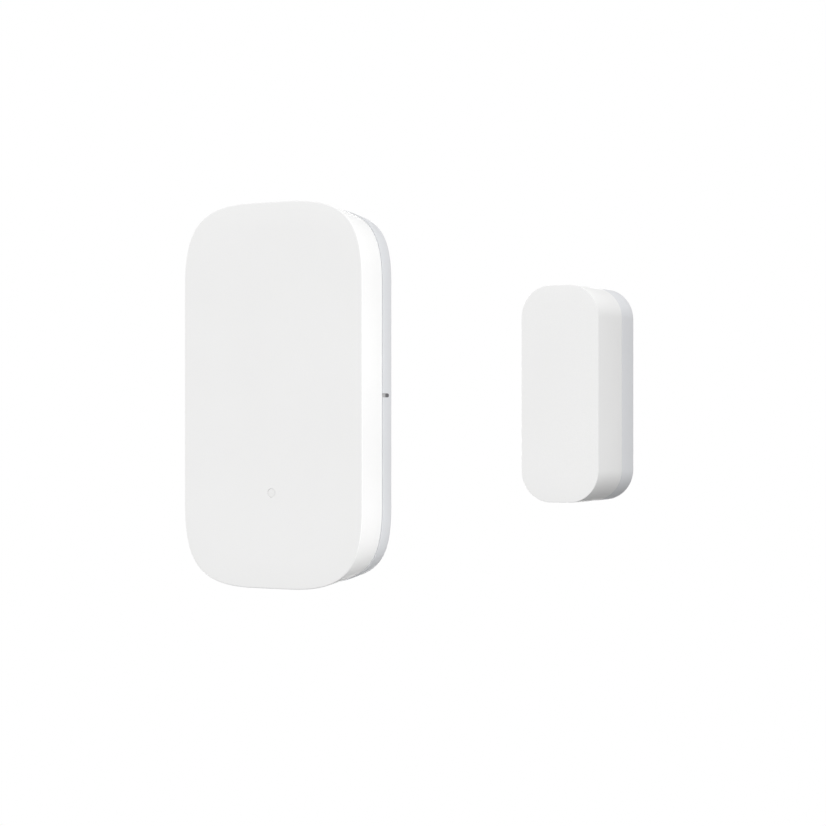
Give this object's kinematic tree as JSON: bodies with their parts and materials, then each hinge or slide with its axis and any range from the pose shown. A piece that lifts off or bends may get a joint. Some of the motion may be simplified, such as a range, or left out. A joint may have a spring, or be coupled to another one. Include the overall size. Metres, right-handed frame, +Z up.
{
  "type": "door contact sensor",
  "caption": "White door contact sensor in two wall-mounted units: a slim rounded switch unit with a grey rear cover, and a narrow magnet unit standing beside it.",
  "frame": {"origin": "centre of the back face of the sensor's adhesive pad, on the mounting surface", "axes": "+Y into the mounting surface, +Z up, +X from the sensor towards the magnet unit; the fronts face -Y"},
  "size_m": [0.049, 0.0102, 0.041],
  "materials": {
    "shell_white": "fine moulded satin",
    "cover_grey": "fine moulded satin",
    "mark_dark": "matte",
    "button_white": "satin",
    "light_guide": "clear, polished",
    "foam_pad": "closed-cell foam tape",
    "foam_grey": "closed-cell foam",
    "board_green": "solder mask",
    "chip_black": "moulded epoxy",
    "holder_black": "matte",
    "seal_grey": "matte",
    "component_ceramic": "matte",
    "led_white": "glossy",
    "spring_steel": "bright nickel",
    "cell_steel": "spun, bright",
    "contact_gold": "gold-plated",
    "magnet_nickel": "nickel-plated, satin",
    "reed_glass": "clear, slightly green",
    "reed_wire": "drawn wire"
  },
  "bodies": {
    "sensor_base": {"rear_cover": "cover_grey", "alignment_mark": "mark_dark", "sensor_pad": "foam_pad"},
    "housing": {"front_shell": "shell_white", "light_guide": "light_guide", "circuit_board": "board_green", "status_led": "led_white", "radio_chip": "chip_black", "memory_chip": "chip_black", "clock_crystal": "cell_steel", "chip_antenna": "component_ceramic", "buffer_capacitor": "component_ceramic", "small_components": "chip_black", "reed_glass": "reed_glass", "reed_fixed_blade": "reed_wire", "reed_lower_lead": "reed_wire", "battery_holder": "holder_black", "cell_can": "cell_steel", "cell_seal": "seal_grey", "cell_cap": "cell_steel", "positive_clip": "spring_steel", "negative_contact": "contact_gold", "switch_body": "chip_black", "switch_terminals": "spring_steel", "switch_dome": "spring_steel"},
    "reset_key": {"reset_button": "button_white", "switch_plunger": "holder_black"},
    "reed_blade": {"reed_moving_blade": "reed_wire"},
    "magnet_unit": {"magnet_cover": "cover_grey", "magnet_mark": "mark_dark", "magnet_shell": "shell_white", "bar_magnet": "magnet_nickel", "magnet_retainer": "foam_grey", "magnet_pad": "foam_pad"}
  },
  "joints": [
    {"name": "housing_pull_off", "type": "slide", "parent": "sensor_base", "child": "housing", "axis": [0, -1, 0], "range_m": [0, 0.012]},
    {"name": "reset_press", "type": "slide", "parent": "housing", "child": "reset_key", "axis": [0, 0, -1], "range_m": [0, 0.00025], "stiffness_N_per_m": 4000},
    {"name": "reed_flex", "type": "hinge", "parent": "housing", "child": "reed_blade", "pos_m": [0.0075, -0.00666, -0.00285], "axis": [1, 0, 0], "range_deg": [0, 1.2], "stiffness_Nm_per_rad": 0.00025},
    {"name": "door_opening", "type": "slide", "parent": "sensor_base", "child": "magnet_unit", "axis": [1, 0, 0], "range_m": [-0.017, 0.06]}
  ]
}
